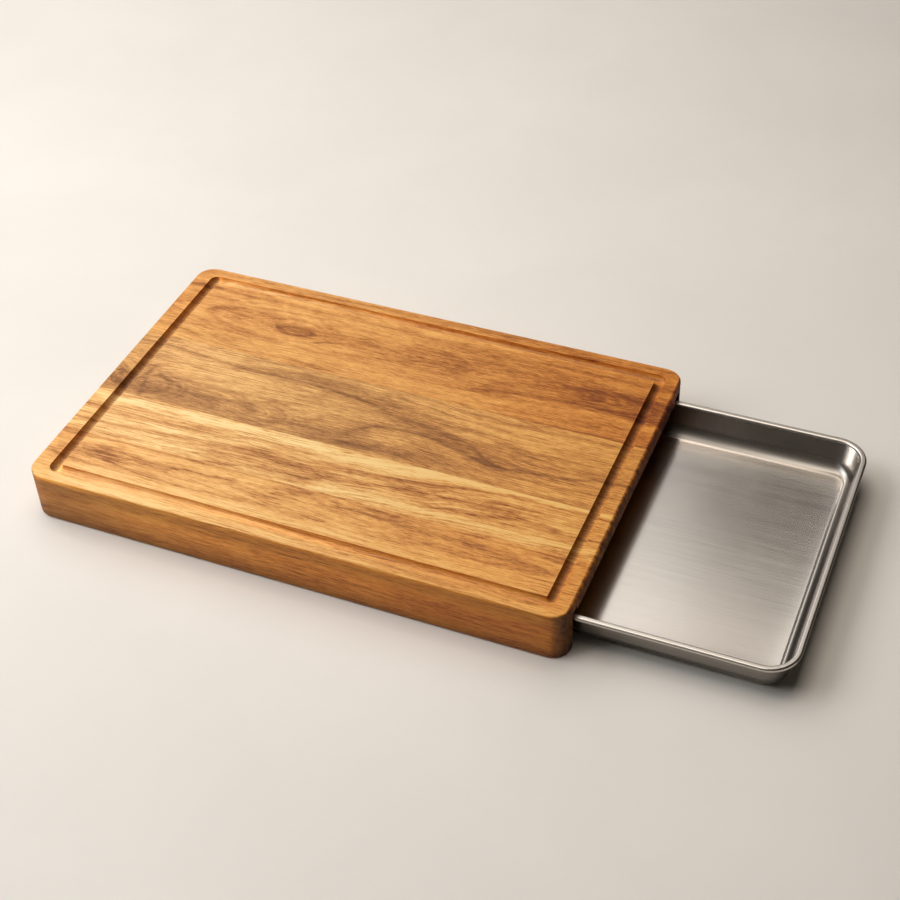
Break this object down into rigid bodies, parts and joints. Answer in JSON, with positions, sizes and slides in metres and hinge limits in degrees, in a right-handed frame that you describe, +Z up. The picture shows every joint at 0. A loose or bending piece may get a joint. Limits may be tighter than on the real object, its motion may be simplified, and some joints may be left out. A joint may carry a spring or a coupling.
{
  "type": "cutting board with a sliding tray",
  "caption": "Edge-glued wooden chopping board with a juice groove, hollowed from below to store a shallow rolled-rim metal tray that slides out of one end to catch chopped food.",
  "frame": {"origin": "Under the middle of the board and tray together, tray out as stored, at the height of the surface that both stand on.", "axes": "+Z up out of the cutting face. X along the board's long side and the tray's travel, +X the way the tray comes out. Y across the board, -Y towards the light front plank."},
  "size_m": [0.515, 0.25, 0.037],
  "materials": {
    "wood_golden": "oiled, golden with a soft brown figure",
    "wood_pale": "oiled, pale with straight brown streaks",
    "wood_figured": "oiled, golden with grey-brown figure",
    "wood_red": "oiled, orange-brown with oval figure",
    "tray_steel": "satin, fine lines along X"
  },
  "bodies": {
    "board": {"front_plank": "wood_golden", "second_plank": "wood_pale", "third_plank": "wood_figured", "rear_plank": "wood_red"},
    "tray": {"tray": "tray_steel"}
  },
  "joints": [
    {"name": "tray_slide", "type": "slide", "parent": "board", "child": "tray", "axis": [1, 0, 0], "range_m": [-0.127, 0.215]}
  ]
}
